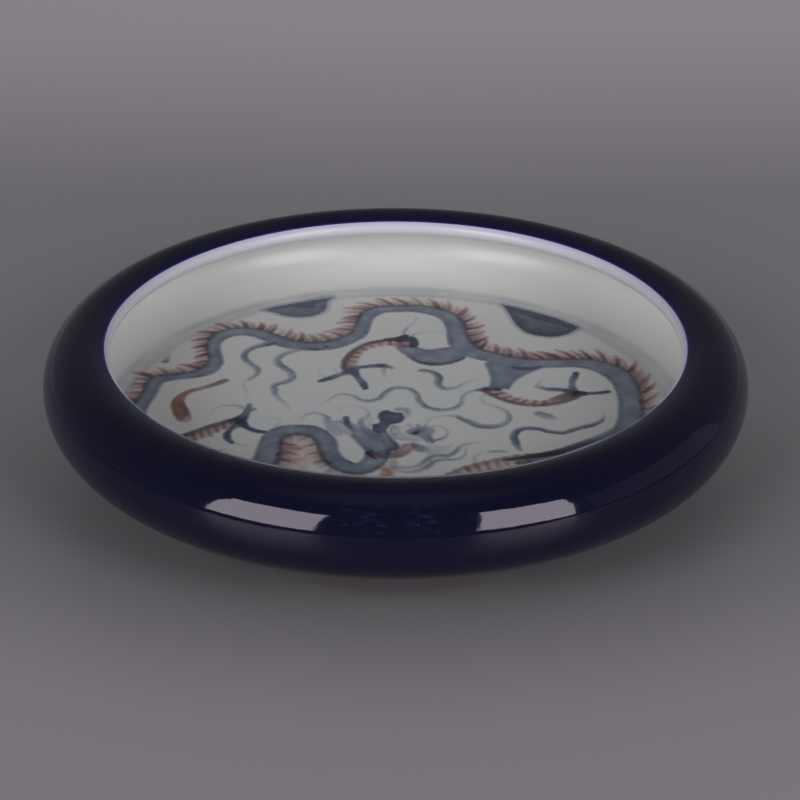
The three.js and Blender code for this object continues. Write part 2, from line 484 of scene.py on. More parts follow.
LEGS = [
    Leg(
        thigh=[(0, 41), (2.5, 36.5), (5.5, 32), (10, 29.3), (15, 30), (20, 33.5), (23, 37), (18.5, 42.5),
               (14, 40.8), (10, 39.8), (6, 41.8), (3, 43)],
        edge=0.9,
        outer=[(2, 47.5), (-4, 46), (-9, 43.5), (-12, 40), (-14.5, 35), (-15.5, 30), (-15, 25)],
        inner=[(2.5, 42), (-4, 42), (-8, 40.5), (-10.3, 37), (-11.3, 32), (-11.3, 27)],
        claws=[
            ([(-13, 25.5), (-17, 22.3), (-20, 20), (-22.5, 18.2)], [3.8, 2, 2.4, 1.4], [1.6, 1, 1.5]),
            ([(-13, 25), (-11, 20), (-9.5, 16), (-9, 13.8)], [3.4, 1.8, 2.4, 1.6], [1.5, 1, 1.6]),
            ([(-12, 27), (-8, 28.2), (-4, 28.6), (-1, 27)], [1.8, 1.8, 2.6, 1.2], [1.3, 1.1, 1.5, 0.6]),
        ],
    ),
    Leg(
        thigh=[(27, 30), (27.8, 25), (28.3, 20), (27.5, 14.5), (33.5, 13.5), (36, 19.5), (40.5, 24.5),
               (46, 28.5), (40, 32), (32, 34)],
        edge=0.75,
        outer=[(26, 12.5), (30, 7.8), (35, 4.4), (41, 3.2), (46.5, 4.4), (51, 6.8), (54.5, 10)],
        inner=[(30, 14), (32.8, 11), (35.6, 7.8), (40, 6.2), (45, 6.6), (48.3, 9), (50, 12)],
        claws=[
            ([(52, 12), (49, 13), (45, 13.6), (41.8, 15)], [2.8, 2, 2.2, 1.4], [1.7, 1.3, 1, 0.5]),
            ([(52.4, 12), (52.3, 17), (53.4, 22), (54, 24)], [2.4, 1.9, 2.1, 1.5], [1.6, 0.9, 1.1, 2.2]),
            ([(52.8, 10.6), (55.4, 10.7)], [4, 2.2], [2.6]),
            ([(55, 10.7), (59, 11), (62.5, 11.9)], [1.4, 1.5, 1.6], [1.6, 1.6, 2]),
            ([(43, 14.4), (43.2, 16.4)], [1.4, 0.7], [0.6, 0.2]),
        ],
    ),
    Leg(
        thigh=[(-70, -32), (-71, -25), (-66.5, -18.5), (-61, -15.5), (-57, -18.5), (-59, -23), (-63, -29)],
        edge=1,
        outer=[(-62.5, -18), (-60, -16), (-55, -12), (-50, -8.5), (-45.5, -5.6)],
        inner=[(-59.5, -22), (-56, -19), (-52, -15.5), (-48.3, -11.5), (-45, -9.5)],
        claws=[
            ([(-44.6, -6), (-43.4, -3), (-42.7, 0), (-42.6, 3.4)], [4, 2.2, 2.2, 1.2], [2, 1.2, 1.1, 0.7]),
            ([(-42.8, -0.6), (-41, 0.2)], [2, 1.2], [1.2, 0.7]),
            ([(-44.4, -8), (-41.8, -11.4), (-39.6, -13), (-37, -13.8)], [3.6, 1.6, 1.8, 1.6], [2.2, 1.8, 2]),
            ([(-45, -9.5), (-47.2, -12.6), (-47.6, -16.6), (-46, -20)], [2.2, 1.7, 2, 1.2],
             [1.5, 1.3, 1.9, 1.5]),
        ],
    ),
    Leg(
        thigh=[(47, -26), (41, -27.5), (35, -28.5), (33, -31.5), (37, -34), (43, -34)],
        edge=0.45,
        outer=[(37, -26.8), (31, -28.3), (24.5, -31), (18, -34.8), (12.5, -40)],
        inner=[(38, -31.5), (32, -32.8), (26.5, -35.2), (21.5, -39), (16.5, -44)],
        claws=[
            ([(14, -42), (9, -43), (5, -45), (2, -45)], [4.6, 1.9, 2.1, 1], [1.7, 1.2, 1.6]),
            ([(14, -42), (10, -47), (8.5, -51), (6.5, -54)], [3.8, 2, 2.2, 1], [1.7, 1.2, 1.6]),
            ([(14.5, -42), (15, -48), (14.5, -52), (16, -55)], [3.2, 1.9, 2.1, 1], [1.7, 1.2, 1.6]),
        ],
    ),
]
HATCH_PITCH = 2.7  # mm between the red bars on a forearm
LEG_STEP = 0.2  # mm between the points of its two lines


def at(line, share):
    """The point at a share of a line with even steps."""
    return line[int(share * (len(line) - 1))]


def paint_leg(leg, wash, line, blush, red):
    chance = random.Random(8)
    wash.patch(leg.thigh, 1.0)
    blush.patch(leg.outer + leg.inner[::-1], 1.9)
    weight = leg.edge**0.5
    line.stroke(leg.outer, np.array([1.5, 2.0, 1.8]) * weight, np.array([1.3, 0.9, 1.4]) * leg.edge)
    red.stroke(leg.outer, np.array([2.0, 2.6, 2.2]) * weight, np.array([0.7, 0.5, 0.7]) * leg.edge)
    outer = smooth_line(leg.outer, LEG_STEP)
    inner = smooth_line(leg.inner, LEG_STEP)
    middle = [(at(outer, t) + at(inner, t)) / 2 for t in np.linspace(0, 1, 12)]
    red.stroke(middle, [1.6], np.array([0.2, 0.4, 0.7]) * leg.edge)
    bars = round(run_along(inner)[-1] / HATCH_PITCH)
    for bar in range(bars):
        share = (bar + 0.5) / bars
        start = at(outer, max(share - 0.04, 0))
        across = at(inner, share) - start
        end = start + across * chance.uniform(0.7, 1.05)
        strength = chance.uniform(0.6, 1.4) * weight
        red.stroke([start, end], [2.2, 1.5], [1.2 * strength, 0.8 * strength])
        line.stroke([start, start + across * 0.8], [1.6, 1.0], [0.7 * strength, 0.35 * strength])
    for claw in leg.claws:
        line.stroke(*claw)


# Loose strokes in blue, each with its points, widths and tones
ELBOW_HAIR = [
    ([(1.2, 46.6), (2.9, 49)], [3.6, 2.4], [2.8, 2.3]),
    ([(5.2, 42), (5.6, 44.6), (4.6, 47.4)], [2.4, 2.6, 3], [2.4, 1.8, 2.2]),
    ([(46.5, 7.4), (49.8, 9.4), (52.8, 11.2)], [2.2, 2.8, 2.4], [0.3, 0.6, 1.2]),
    ([(3, 46.6), (-1, 46.9), (-5, 45.5)], [3.2, 2.2, 1.4], [2.1, 1.8, 1.4]),
    ([(4.6, 35), (7.4, 31.4), (12, 29.9), (17, 31.4), (20.6, 34.4)], [1.2, 2, 2.2, 1.8, 1.2],
     [1.3, 1.7, 1.6, 1.5, 1.8]),
    ([(35.8, 27.4), (39.6, 26.8), (43.4, 28.6)], [2.4, 3, 2], [1.4, 1.8, 1.4]),
    ([(30, 13.8), (27, 13.5), (24, 12.6)], [3.2, 2.4, 1.4], [1, 1.3, 1.1]),
]
STREAMERS = [
    ([(-37.5, 44.6), (-41, 42.6), (-44, 40.5), (-45.8, 37.5), (-46, 34), (-44, 30), (-42, 27), (-41.4, 24),
      (-42.5, 21), (-44, 19.4)], [3.4, 2.8, 2.2, 2, 1.9, 1.8, 1.8, 1.8, 1.6, 1.2],
     [1.6, 1, 1.1, 1.3, 1.4, 1.1, 0.8, 0.7, 0.7]),
    ([(-45, 18), (-44.8, 14), (-43.6, 10), (-44, 6)], [1.1, 0.9, 0.5], [0.3, 0.25, 0.12]),
    ([(-30, 38.8), (-34, 36.5), (-35.8, 33), (-35.5, 30), (-33.5, 27), (-31.3, 23.5), (-31, 20),
      (-33, 17.5), (-36, 15.3), (-35.6, 12.6)], [2, 2.3, 2.2, 2.2, 2.3, 2.2, 2.2, 2, 1.8],
     [0.7, 0.75, 0.8, 1.1, 1, 0.8, 0.9, 1.1]),
    ([(-35.8, 13), (-35.6, 10.5), (-34, 6.5), (-31.7, 3), (-31, -1)], [1.8, 1.4, 0.9, 0.5],
     [0.9, 0.6, 0.35, 0.15]),
    ([(7.6, 25.4), (11, 24.4), (12.9, 20.5), (12.5, 16.4), (14.3, 13.6)], [1.8, 2, 2.2, 2.1, 1.7],
     [1, 1.2, 1.3, 1.2, 1.1]),
    ([(14.3, 13.4), (18, 14.6), (21, 17.5), (25, 20)], [1.7, 1.3, 1.1, 0.6], [0.9, 0.5, 0.3, 0.12]),
    ([(-24, 4.5), (-21, 4.5), (-19, 7), (-16.5, 9.7), (-13, 9), (-10.5, 6.3)], [0.7, 0.8, 1, 1.3, 1.5],
     [0.12, 0.3, 0.5, 0.6, 0.8]),
    ([(-11, 6.8), (-8, 5.5), (-5, 7), (-3, 11), (0, 14), (3.5, 13.6), (6, 10.5), (6.8, 6), (9, 1.8),
      (13, 0.1)], [1.5, 1.6, 1.7, 1.6, 1.6, 1.8, 1.6], [0.8, 0.95, 0.95, 0.9, 0.95, 1.15, 0.95]),
    ([(13, 0.1), (17, 1.2), (19.2, 4.5), (19.7, 8.5), (22, 11.8), (25, 12.8)], [1.7, 1.5, 1.3, 1.1, 1],
     [0.9, 0.75, 0.55, 0.45, 0.7]),
    ([(28, 10.5), (25.2, 8.5), (25.5, 5), (29, 2.2), (31.8, -0.5), (32.6, -4), (31.3, -8)],
     [0.8, 1, 1, 1.2, 1.6, 1.8], [0.4, 0.35, 0.3, 0.5, 0.7, 0.8]),
    ([(31.3, -8), (28, -10), (23.8, -9.5), (20.5, -6.5), (17.6, -3.9)], [1.9, 2.6, 2.6, 2.2, 1.6],
     [0.8, 0.9, 0.95, 1, 1]),
    ([(17.6, -3.9), (14, -3.4), (11, -4.4), (9, -6.8), (8.6, -9.5)], [1.4, 1, 0.8, 0.6],
     [0.7, 0.3, 0.3, 0.2]),
    ([(60, -2.5), (59.4, -5.5), (57.5, -8), (54, -10), (51, -11.5), (47.5, -13.6), (44, -13.1), (40, -11.1),
      (36, -11.4), (33.5, -15), (33.7, -19), (34.8, -24)],
     [0.5, 1.3, 1.7, 1.6, 1.6, 1.7, 1.8, 1.8, 2, 2, 1], [0.4, 1.4, 1.7, 1.3, 1.5, 1.5, 1.6, 1.7, 1.8, 1]),
    ([(41.2, -2), (43, -3.2), (45.8, -5.8)], [2.8, 3.4, 2], [0.85, 0.7, 0.15]),
    ([(-27, -6.5), (-26, -3.5), (-23.5, -2), (-21, -3.2), (-19.5, -5)], [0.6, 0.9, 1, 1.1, 1.5],
     [0.25, 0.35, 0.35, 0.5, 1.1]),
    ([(-16.4, -1.5), (-15.3, 1.5), (-12, 2.3), (-9, 0.6), (-8, -2.5), (-9, -5.5)],
     [0.5, 0.8, 0.9, 1.1, 1.3], [0.2, 0.25, 0.3, 0.4, 0.5]),
    ([(-37, -4.6), (-34.5, -5.2), (-33.2, -7.5), (-34.5, -9.8)], [0.5, 0.7, 0.7, 0.5], [0.2, 0.3, 0.3]),
    ([(6.2, 64.5), (6, 60), (3.6, 55.5), (2.2, 51)], [0.6, 0.7, 0.8, 1], [0.2, 0.3, 0.35, 0.7]),
    ([(5, 49.5), (8, 51.6), (12, 52), (15, 51.6)], [1, 0.7, 0.6, 0.5], [0.6, 0.3, 0.2, 0.2]),
    ([(-43, 0), (-45.5, 2.2), (-49, 2.8), (-52.3, 0.8), (-53, -2.5)], [1.4, 1, 0.8, 0.6],
     [0.8, 0.45, 0.35, 0.2]),
    ([(-45.5, -20), (-43, -21.2), (-40.5, -21.8)], [0.7, 0.5], [0.6, 0.3]),
    ([(42, 15.5), (42.6, 18), (44.3, 20.2)], [1.1, 0.9, 0.5], [0.5, 0.35, 0.2]),
    ([(-3.4, 28), (-3.7, 25), (-3, 21)], [1.3, 1, 0.6], [0.8, 0.5, 0.3]),
    ([(-20.5, 21), (-22.6, 23), (-22.8, 26.5)], [0.9, 0.7, 0.5], [0.5, 0.3, 0.15]),
    ([(-16.5, 23.5), (-18.5, 26)], [1, 0.5], [0.5, 0.2]),
    ([(-68.9, 35), (-69.8, 31)], [1, 2], [0.5, 1.5]),
    ([(-21.9, 41.4), (-21.1, 41.3)], [1.7], [2.8]),
    ([(63.5, -9.8), (58.6, -15.4), (50.6, -21.6), (44.4, -25.4), (36.2, -27.9), (30, -29.6)],
     [1.6, 2.4, 2.8, 2.8, 2.4, 1.6], [0.9, 1.5, 2, 2.5, 2.4, 1.6]),
    ([(-8, -58), (-3, -60), (1, -66), (6, -69), (12, -66)], [1.2, 1.8, 1.9, 1.7, 0.8], [0.6, 1, 1.2, 0.8]),
    ([(-26, -44), (-23, -49), (-24, -55), (-20, -60), (-15, -58)], [1.6, 2, 2.1, 1.9, 0.9],
     [1.3, 1.1, 1, 0.7]),
    ([(-14, -43), (-10, -48), (-11, -53), (-7, -57)], [1, 1.6, 1.5, 0.7], [0.6, 1, 0.9, 0.4]),
    ([(-48, -24), (-52, -29), (-50, -34), (-54, -38)], [0.8, 1.4, 1.4, 0.7], [0.5, 0.9, 0.9, 0.5]),
    ([(18, -60), (15, -64), (17, -69)], [0.8, 1.3, 0.6], [0.6, 0.9, 0.4]),
]

# A burning pearl with its tail, in red
PEARL = [
    ([(-50.6, 18.6), (-54, 15.6), (-57.5, 13.3), (-61, 11), (-63.2, 7), (-63.3, 3), (-62.2, -1), (-61, -5)],
     [2.2, 2, 1.8, 2, 2.8, 4, 4.6, 4.2], [0.9, 1.1, 1.1, 1.3, 2, 2.6, 2.5, 1.6]),
    ([(-60.6, -4.5), (-60, -7)], [3.4, 2.4], [0.6, 0.4]),
]
PEARL_SHADE = [
    ([(-51, 18.4), (-55, 15), (-60, 12), (-62.8, 8)], [2.2, 2, 1.6, 1.2], [0.45, 0.4, 0.3, 0.1]),
    ([(-62.8, 4), (-62, -1), (-60.6, -6)], [2.6, 4.6, 4.4], [0.05, 0.1, 0.25]),
    ([(-61.9, -2), (-61.3, -3.2)], [1.8], [1.7]),
]
# Red on the dragon's elbows
ELBOW_RED = [
    ([(0.5, 43.6), (3.6, 43.2)], [3, 3.6], [1, 1.3]),
    ([(45.5, 6.2), (49.5, 8.6), (52.8, 11.2)], [2.6, 3.4, 2.8], [0.7, 0.9, 1.2]),
    ([(52, -20.4), (44.4, -25.4), (36.2, -27.9), (30, -29.6)], [1.4, 2.4, 2.4, 1.6], [0.8, 1.3, 1.5, 1.2]),
]

# Clouds hang from the ring: a middle wash, with darker strokes in it
CLOUDS = [
    [(-42, 68.2), (-38.5, 66), (-35, 63.8), (-30, 62.8), (-26, 64), (-23.2, 66.5), (-22.2, 70), (-21.8, 75),
     (-20.5, 77.6), (-27, 75.4), (-33, 73), (-38.5, 70.4)],
    [(34, 72.6), (35.2, 69), (36.3, 64), (37.5, 59), (39.5, 54), (42, 51), (45.5, 49.4), (50, 49.3),
     (53.5, 51.3), (57, 56), (53, 60), (47, 64.8), (41, 68.8)],
    [(-47, -64.8), (-42, -66.5), (-36, -70.5), (-30, -73.5), (-26.5, -75.5), (-28, -69), (-32, -64.5),
     (-38, -62.5), (-43, -62.5)],
    [(52, -60.8), (57, -55), (62, -50.5), (65.5, -46), (68, -42), (61, -40.5), (56, -43.5), (52.5, -49),
     (51, -55)],
]
CLOUD_TONES = [1.5, 2.05, 1.7, 1.9]
CLOUD_STROKES = [
    ([(-40, 68.8), (-34, 70.8), (-28, 73), (-22.5, 76)], [1.4, 2.6, 3.4, 2], [1.5, 1.7, 2.1, 1.6]),
    ([(-32, 71), (-27, 71.5)], [3.2, 3.6], [2]),
    ([(-40.5, 67.6), (-36, 64.9), (-30, 63.6), (-25.5, 65), (-23, 68.5)], [1.2, 1.7, 1.9, 1.6, 1.2],
     [1.5, 1.8, 1.5]),
    ([(35, 71), (41, 67), (48, 62), (55, 56.5)], [1.8, 4.4, 5.2, 3.6], [2.2, 2.6, 2.6, 2.3]),
    ([(36.6, 66), (38.2, 59), (41, 53.5), (45.5, 51), (50, 51), (54, 53.8)], [1.4, 1.8, 2.8, 3.4, 3.2, 2],
     [1.7, 1.6, 2, 2.4, 2.2]),
    ([(-45, -64.5), (-38, -68), (-29, -73)], [1.4, 3.4, 2], [1.5, 1.9, 1.5]),
    ([(54, -58), (60, -51), (66, -44)], [2, 4, 2.2], [1.5, 2, 1.6]),
]

# The head, in three-quarter view: mane, crest, face, mouth and beard
HEAD_WASH = [
    ([(-20, -5), (-18.6, -9), (-17.5, -12.5), (-16.4, -14)], [1.4, 3.2, 4, 3.6], [0.5, 0.36, 0.3]),
    ([(-16.5, -8), (-14.6, -11.5), (-12.8, -14)], [3.4, 4.4, 3.4], [0.36, 0.32, 0.34]),
    ([(-14.8, -7.5), (-12, -12.5), (-8.5, -18), (-5.5, -23.5)], [3.2, 4.6, 5.6, 6.4],
     [0.55, 0.75, 0.9, 1.2]),
    ([(-9.6, -5.5), (-9.8, -9.5), (-7.6, -14), (-5, -19.5)], [1.4, 2.6, 3.6, 4.4], [0.45, 0.55, 0.9, 1.2]),
    ([(-4.2, -13), (-3.2, -16.5), (-2.4, -20), (-3, -22.6)], [3, 3.8, 4.6, 5], [1.3, 1, 0.95, 1.1]),
    ([(-6.8, -4.5), (-7.6, -8.5), (-6, -12.5)], [0.8, 1.5, 1.4], [0.2]),
    ([(0.3, 0.2), (2.1, 0.6), (3.3, -1.6), (3, -4)], [1.6, 2.4, 2.2, 1.4], [0.5, 0.38, 0.25]),
    ([(0.2, -10.6), (0.2, -13.8), (2.4, -16.6), (6, -17.2)], [2.2, 2.8, 2.6, 1.8], [0.26, 0.3, 0.24, 0.26]),
    ([(4.8, -13.4), (7, -13), (9, -12.8)], [3.6, 5.6, 4.4], [0.7, 0.75, 0.55]),
    ([(8, -13.4), (8.6, -16.2), (9.4, -18.6)], [4, 3.6, 2.4], [0.7, 0.75, 0.6]),
    ([(5, -21.6), (6.8, -23), (9.4, -24.6)], [3, 3.8, 2.2], [0.8, 0.7, 0.3]),
    ([(-0.6, -29), (-0.6, -32), (-0.2, -35)], [2.2, 2.6, 1.6], [0.2]),
    ([(-1, -27.4), (1.4, -25.6), (3, -22.8), (4.8, -20.6)], [3.2, 4, 4, 2.2], [0.55, 0.45, 0.35, 0.3]),
    ([(9, -21.8), (12, -22.4), (14.5, -21.8)], [1.2, 2.6, 1], [0.2]),
    ([(2, -33.8), (7, -34.2), (10.5, -31)], [2.4, 3, 2.4], [0.15]),
]
CREST = [
    (-4.4, -1.3), (-2.4, -0.2), (-0.6, -1.5), (1.4, -1.7), (2.4, -4.6), (1.3, -7.6), (-1.2, -8.6),
    (-2.4, -11.2), (-3.4, -14), (-5.4, -14.6), (-6.6, -12.2), (-5.6, -9.4), (-4.4, -7.2), (-5, -4),
]
HEAD_LINES = [
    ([(-2.8, -1.6), (-1.9, -3.4)], [2.4, 3.2], [2.7]),
    ([(1, -2.6), (1, -5), (0, -7.2)], [1.8, 2.4, 2.2], [1.9, 1.6, 1.5]),
    ([(-5.4, -9.8), (-4.4, -12.8)], [2.4, 2.2], [1.6]),
    ([(-14.3, -4.8), (-14, -8), (-12.6, -11.5), (-10, -15.2)], [1.6, 2, 1.6, 0.8], [1.4, 1.6, 1, 0.6]),
    ([(-10, -10.5), (-8.4, -14), (-6.7, -17.2)], [0.9, 1.3, 1], [1, 1.3, 1]),
    ([(-11, -17), (-8.5, -21.5), (-6.4, -24.5)], [0.6, 0.9, 1.2], [0.9, 1.1, 1.4]),
    ([(-2.4, -16.4), (-0.8, -19.2), (0.1, -22.2), (-2, -24.4), (-6, -24.8)], [1, 1.4, 1.9, 1.7, 1.1],
     [1, 1.3, 1.6, 1.5, 1.2]),
    ([(-4.6, -16), (-3.4, -19), (-3.2, -22)], [0.9, 1.3, 0.9], [1.1, 1.3, 1.1]),
    ([(-0.8, -10.6), (-1.2, -14.2), (0.2, -16.9), (3, -18), (6.5, -18)], [1, 0.9, 0.9, 0.8],
     [0.6, 0.5, 0.55, 0.4]),
    ([(-0.6, -10.2), (0.3, -10.7)], [1.2, 0.8], [0.8]),
    ([(-0.9, -14.9), (0.1, -15.2)], [1.4, 1], [0.8]),
    ([(5.6, -14.2), (6.2, -13.4)], [2, 1.8], [2]),
    ([(6.4, -12.6), (8, -13)], [2, 1.6], [1.1, 0.9]),
    ([(4, -9.2), (4.4, -10.8)], [1, 0.8], [0.35]),
    ([(6.3, -9), (6.4, -10.6)], [1, 0.8], [0.5]),
    ([(8.7, -9.4), (8.2, -10.8)], [1, 0.8], [0.4]),
    ([(9.6, -10.8), (12.4, -10), (14.4, -12), (14.6, -15), (13, -17.3), (10.8, -18.4)],
     [0.8, 0.8, 0.9, 0.9, 1, 1.2], [0.4, 0.25, 0.28, 0.35, 0.5, 0.9]),
    ([(8.4, -16.2), (9.8, -17.8), (10.4, -19.6)], [1.2, 1.6, 1], [1, 1.1, 0.8]),
    ([(4.9, -20.8), (6, -22.6), (7.6, -23.8)], [1.6, 2, 1.2], [0.9, 1, 0.6]),
    ([(8.4, -24.6), (11.5, -24.2), (14.2, -22.8), (16, -20.4)], [1, 0.8, 0.6], [0.5, 0.35, 0.2]),
    ([(-0.4, -33.4), (3, -34.2), (6.4, -32.8), (8.6, -29.6), (11, -27.2), (14.5, -27.2), (16.4, -25.4),
      (18, -22.2), (20.4, -20.2), (24, -20)], [1.4, 1.4, 1.6, 1.8, 1.7, 1.4, 1.1, 0.7],
     [0.5, 0.4, 0.5, 0.7, 0.75, 0.55, 0.4, 0.2]),
    ([(0.4, -35.8), (5, -36.2), (9, -33.2), (11, -30.2), (14.5, -29.4), (17.6, -29), (19.4, -26.2),
      (19.6, -22.8)], [1.2, 1.6, 1.9, 1.7, 1.3, 1, 0.6], [0.3, 0.45, 0.65, 0.7, 0.55, 0.4, 0.2]),
    ([(9, -26.2), (12, -25.6), (15, -24)], [0.9, 0.8, 0.5], [0.4, 0.3, 0.2]),
    ([(26, -25), (28.5, -24.6), (31.5, -25)], [0.8, 1.5, 0.8], [0.4, 0.5, 0.3]),
    ([(22, -31), (22, -28), (24, -25.4)], [0.6, 0.8, 0.5], [0.3]),
    ([(-7.3, -26), (-6.6, -27.8), (-5, -29.6)], [1.2, 1.8, 1.3], [1.6, 2, 1.2]),
]
HEAD_RED = [
    ([(-7.6, -25.8), (-4.3, -27), (-1, -27.4), (1.4, -25.6), (3, -22.8), (5.2, -20.4)],
     [1.8, 3, 3.6, 4.4, 4.4, 2.4], [1.4, 1.3, 1, 0.75, 0.65, 0.5]),
    ([(-31.2, -20.2), (-29.4, -23), (-27, -23.4)], [2.2, 2.8, 1.8], [1]),
    ([(-30.8, -27), (-28, -29.6), (-25.6, -29)], [2, 2.4, 1.4], [0.8, 0.7, 0.5]),
    ([(3.6, -9.6), (6.4, -9.8), (8.6, -9.8)], [1.6, 1.4], [0.2]),
    ([(-0.4, -28.6), (-0.8, -31.4), (-0.4, -34.4)], [2.2, 2.6, 1.8], [0.4, 0.35, 0.3]),
    ([(-3, -34.8), (-1.6, -37)], [1.8], [0.9]),
    ([(-3.8, -38), (-0.8, -38.4)], [1.4, 0.8], [0.9]),
]
HEAD_BLUSH = [
    ([(-3.2, -34), (-2, -36.5), (-2, -39)], [3.2, 4.6, 3], [1.8, 1.8, 1.2]),
    ([(17, -36), (21, -35.5), (24, -36.5)], [3, 3.4, 2], [0.8]),
    ([(-27, -18.5), (-26.6, -25), (-27.4, -34), (-29, -40)], [4, 6, 7], [1.4]),
]


def paint_ribbon(points, widths, tones, wash, line):
    """A stroke of a brush that carries more pigment on one side: pale, with a darker run along its left."""
    centre = smooth_line(points, PAINT_STEP)
    width = spread(widths, centre)
    tone = spread(tones, centre)
    wash.brush(centre, width / 2, tone * 0.6)
    darker, _, _ = beside(centre, width * 0.2)
    line.brush(darker, width * 0.29, tone * 0.97)


def paint_floor(places):
    """The painting as four layers: pale and dark blue, pale and dark red."""
    layers = {name: Layer(places) for name in SOFTNESS}
    wash, line, blush, red = layers.values()
    paint_body(wash, line, blush, red)
    for leg in LEGS:
        paint_leg(leg, wash, line, blush, red)
    for outline, tone in zip(CLOUDS, CLOUD_TONES):
        wash.patch(outline, tone)
        line.stroke(outline + outline[:1], [2.6], [0.3])
    line.patch(CREST, 1.5)
    for stroke in STREAMERS:
        paint_ribbon(*stroke, wash, line)
    loose = {
        line: ELBOW_HAIR + CLOUD_STROKES + PEARL_SHADE + HEAD_LINES,
        red: PEARL + ELBOW_RED + HEAD_RED,
        wash: HEAD_WASH,
        blush: HEAD_BLUSH,
    }
    for layer, strokes in loose.items():
        for stroke in strokes:
            layer.stroke(*stroke)
    return layers


def painted_floor(name, floor_line):
    """The flat floor and the start of its corner, as a fine even grid that carries the painting.

    Each layer of paint is kept on the points as a vector of depth and tone.
    """
    places = disc_points(PAINTED_CELLS) * PAINTED_RADIUS
    radius = np.linalg.norm(places, axis=1) * MM
    height = np.interp(radius, floor_line[:, 0], floor_line[:, 1])
    index = np.arange((PAINTED_CELLS + 1) ** 2).reshape(PAINTED_CELLS + 1, -1)
    faces = np.stack([index[:-1, :-1], index[:-1, 1:], index[1:, 1:], index[1:, :-1]], -1).reshape(-1, 4)
    mesh = bpy.data.meshes.new(name)
    mesh.from_pydata(np.column_stack([places * MM, height]).tolist(), [], faces.tolist())
    add_uv(mesh, places[faces.ravel()] / (2 * PAINTED_RADIUS) + 0.5)
    for layer_name, layer in paint_floor(places).items():
        attribute = mesh.attributes.new(layer_name, "FLOAT_VECTOR", "POINT")
        values = np.column_stack([layer.depth, layer.tone, np.zeros(len(places))])
        attribute.data.foreach_set("vector", values.astype(np.float32).ravel())
    return mesh


# Materials

def set_stops(ramp, places, colours):
    """Gives a new colour ramp its colours, each at its place."""
    stops = ramp.color_ramp.elements
    for i, (place, colour) in enumerate(zip(places, colours)):
        stop = stops[i] if i < 2 else stops.new(place)
        stop.position = place
        stop.color = colour


class Shader:
    """A material's nodes, with short ways to make the few kinds that are used here."""

    def __init__(self, name, **values):
        self.material = bpy.data.materials.new(name)
        self.material.use_nodes = True
        self.tree = self.material.node_tree
        self.surface = self.tree.nodes["Principled BSDF"]
        for socket, value in values.items():
            self.surface.inputs[socket.replace("_", " ")].default_value = value
        self.place = self.add("TexCoord", {}, "Object")
        self.x, self.y, z = self.split(self.place)
        self.radius = self.times(self.length(self.x, self.y), 1 / MM)  # from the axis, in mm
        self.height = self.times(z, 1 / MM)

    def add(self, kind, inputs, output=0, **settings):
        node = self.tree.nodes.new("ShaderNode" + kind)
        for key, value in settings.items():
            setattr(node, key, value)
        for key, value in inputs.items():
            if isinstance(value, bpy.types.NodeSocket):
                self.tree.links.new(value, node.inputs[key])
            else:
                node.inputs[key].default_value = value
        return node.outputs[output]

    def math(self, operation, *values):
        return self.add("Math", dict(enumerate(values)), operation=operation)

    def times(self, a, b):
        return self.math("MULTIPLY", a, b)

    def split(self, vector):
        return self.add("SeparateXYZ", {0: vector}, slice(3))

    def length(self, x, y):
        flat = self.add("CombineXYZ", {0: x, 1: y})
        return self.add("VectorMath", {0: flat}, "Value", operation="LENGTH")

    def noise(self, size, detail=2.0, place=None):
        """Noise from 0 to 1 whose features are about size metres wide."""
        inputs = {"Vector": place or self.place, "Scale": 1 / size, "Detail": detail}
        return self.add("TexNoise", inputs)

    def wander(self, size, detail, reach):
        """Noise about zero, over a range of reach."""
        return self.math("MULTIPLY_ADD", self.noise(size, detail), reach, -reach / 2)

    def specks(self, spacing, edge, middle, rare):
        """Round specks, with edge and middle as shares of their spacing, kept where rare is 1."""
        distance = self.add("TexVoronoi", {"Vector": self.place, "Scale": 1 / spacing}, "Distance")
        return self.times(self.steps(distance, edge, middle), rare)

    def steps(self, value, start, end, smooth=True):
        """0 up to start and 1 from end on. Where start is the higher one, it falls instead."""
        kind = "SMOOTHSTEP" if smooth else "LINEAR"
        inputs = {"Value": value, "From Min": start, "From Max": end}
        return self.add("MapRange", inputs, interpolation_type=kind)

    def mix(self, share, a, b, blend="MIX"):
        return self.add("Mix", {0: share, 6: a, 7: b}, 2, data_type="RGBA", blend_type=blend)

    def tint(self, base, amount, most, colour):
        """The base with another colour mixed in: none at amount 0, and a share of most at 1."""
        return self.mix(self.times(amount, most), base, colour)

    def under(self, base, paint):
        """The base seen through a layer of paint."""
        return self.mix(1.0, base, paint, "MULTIPLY")

    def ramp(self, value, colours):
        """Colours at even steps of value, from 0 to 1."""
        colour = self.add("ValToRGB", {0: value})
        set_stops(colour.node, np.linspace(0, 1, len(colours)), colours)
        return colour

    def bump(self, *heights):
        """Bumps, each with its height in metres, one on top of the other."""
        below = {}
        for value, height in heights:
            inputs = {"Height": value, "Distance": height, "Strength": 1.0, **below}
            below = {"Normal": self.add("Bump", inputs)}
        self.finish(**below)

    def finish(self, **sockets):
        """Links values to the surface, and gives the material."""
        for socket, value in sockets.items():
            self.tree.links.new(value, self.surface.inputs[socket.replace("_", " ")])
        return self.material


def srgb(*channels):
    """A colour given as it looks on screen, from 0 to 255, as Blender's linear values."""
    shares = [channel / 255 for channel in channels]
    linear = [share / 12.92 if share <= 0.04045 else ((share + 0.055) / 1.055) ** 2.4 for share in shares]
    return (*linear, 1.0)


